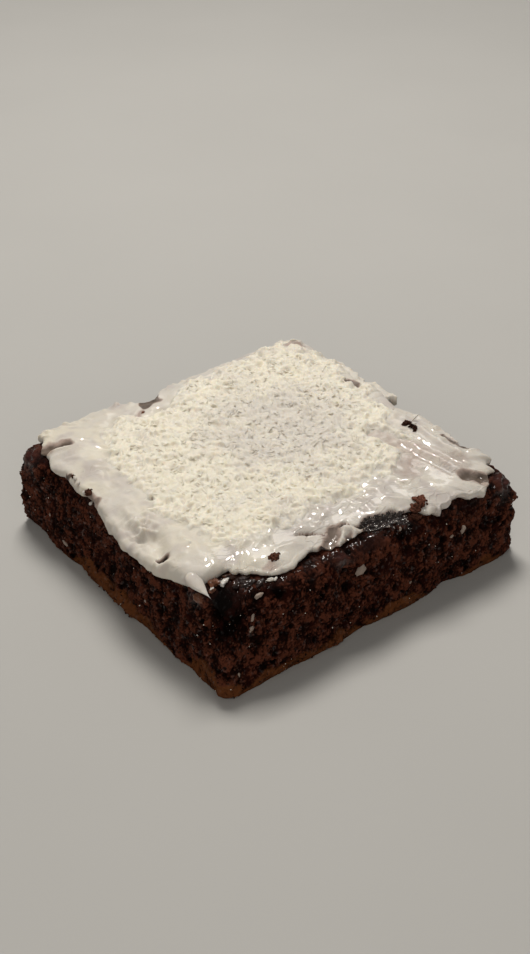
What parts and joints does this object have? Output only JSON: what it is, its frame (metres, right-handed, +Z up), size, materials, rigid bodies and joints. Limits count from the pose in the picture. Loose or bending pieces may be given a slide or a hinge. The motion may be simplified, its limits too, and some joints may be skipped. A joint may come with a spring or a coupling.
{
  "type": "iced brownie square",
  "caption": "Square of dark chocolate brownie with torn crumb sides, white icing spread over its top and shredded coconut strewn on it.",
  "frame": {"origin": "middle of the flat base that the brownie rests on", "axes": "+Z up through the icing, -Y towards the cut front, -X towards the cut left side"},
  "size_m": [0.0819, 0.0813, 0.0238],
  "materials": {
    "crumb": "moist dark chocolate crumb",
    "icing": "soft white icing with shredded coconut"
  },
  "bodies": {
    "root": {"cake": "crumb", "icing": "icing"}
  },
  "joints": []
}
